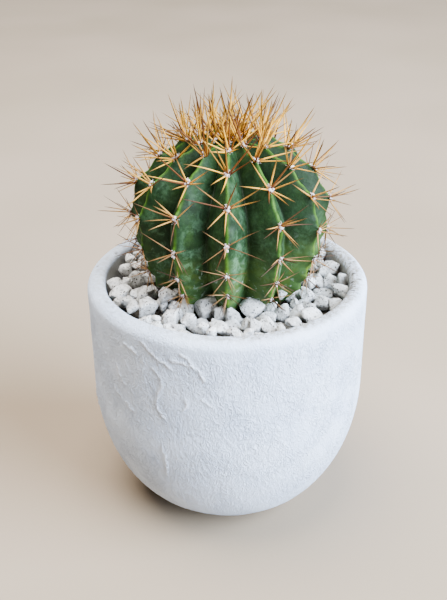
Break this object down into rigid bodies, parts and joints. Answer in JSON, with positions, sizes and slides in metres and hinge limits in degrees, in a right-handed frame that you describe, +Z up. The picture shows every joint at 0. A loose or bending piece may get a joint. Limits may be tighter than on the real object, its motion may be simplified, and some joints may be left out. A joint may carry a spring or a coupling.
{
  "type": "potted round cactus",
  "caption": "Round ribbed cactus with long straight spines in a matte white round-bottomed pot, top-dressed with white pumice stones.",
  "frame": {"origin": "centre of the flat foot that the pot rests on", "axes": "+Z up through the pot; -Y is the side that the picture shows"},
  "size_m": [0.12, 0.12, 0.1896],
  "materials": {
    "pot": "matte",
    "soil": "matte",
    "pumice": "matte",
    "cactus": "satin",
    "crown_spines": "satin"
  },
  "bodies": {
    "root": {"pot": "pot", "soil": "soil", "pumice_gravel": "pumice", "cactus": "cactus", "crown": "crown_spines"}
  },
  "joints": []
}
